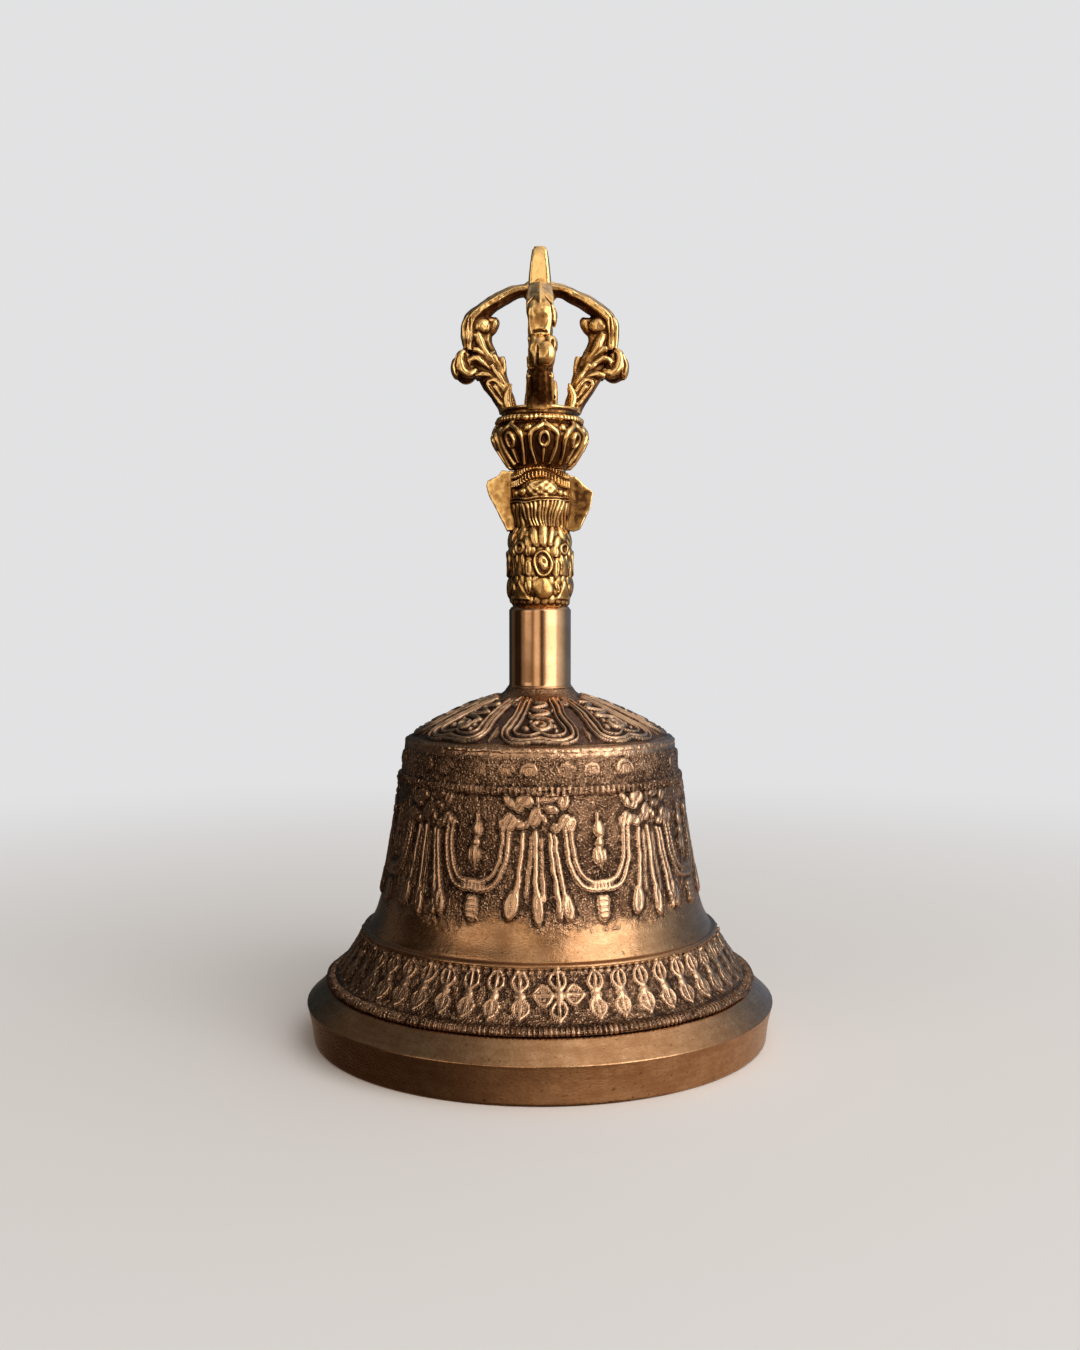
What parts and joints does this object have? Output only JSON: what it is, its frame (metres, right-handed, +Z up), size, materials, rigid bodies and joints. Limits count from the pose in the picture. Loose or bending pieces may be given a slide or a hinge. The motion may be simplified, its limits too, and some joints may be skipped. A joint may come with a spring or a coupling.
{
  "type": "tibetan hand bell",
  "caption": "Cast bronze ritual hand bell with a flared relief body, a turned neck, a brass half-vajra prong handle and a clapper hung on a wire link.",
  "frame": {"origin": "centre of the lip's flat foot, on the surface that the bell stands on", "axes": "+Z up the bell's axis to the tip of the centre prong, -Y is the front, +X is to the right seen from the front"},
  "size_m": [0.094, 0.094, 0.158],
  "materials": {
    "bell_bronze": "dark brown patinated cast bronze, worn to copper on the relief and the turned rings",
    "sleeve_bronze": "fine-turned bronze with circular tool lines",
    "handle_brass": "cast brass, filed bright on the high parts with brown recesses",
    "fixing_steel": "plain steel, dulled",
    "clapper_iron": "dark forged iron"
  },
  "bodies": {
    "bell": {"bell_body": "bell_bronze", "neck_sleeve": "sleeve_bronze", "handle_column": "handle_brass", "lotus_cup": "handle_brass", "centre_prong": "handle_brass", "outer_prong_front": "handle_brass", "outer_prong_right": "handle_brass", "outer_prong_back": "handle_brass", "outer_prong_left": "handle_brass", "eye_bolt": "fixing_steel", "crown_washer": "fixing_steel", "crown_nut": "fixing_steel"},
    "link": {"clapper_link": "fixing_steel"},
    "clapper": {"clapper_stem": "clapper_iron", "clapper_bob": "clapper_iron"}
  },
  "joints": [
    {"name": "link_swing", "type": "hinge", "parent": "bell", "child": "link", "pos_m": [0, 0, 0.0522], "axis": [1, 0, 0], "range_deg": [-12, 12]},
    {"name": "clapper_swing", "type": "hinge", "parent": "link", "child": "clapper", "pos_m": [0, 0, 0.048], "axis": [0, 1, 0], "range_deg": [-40, 40]}
  ]
}
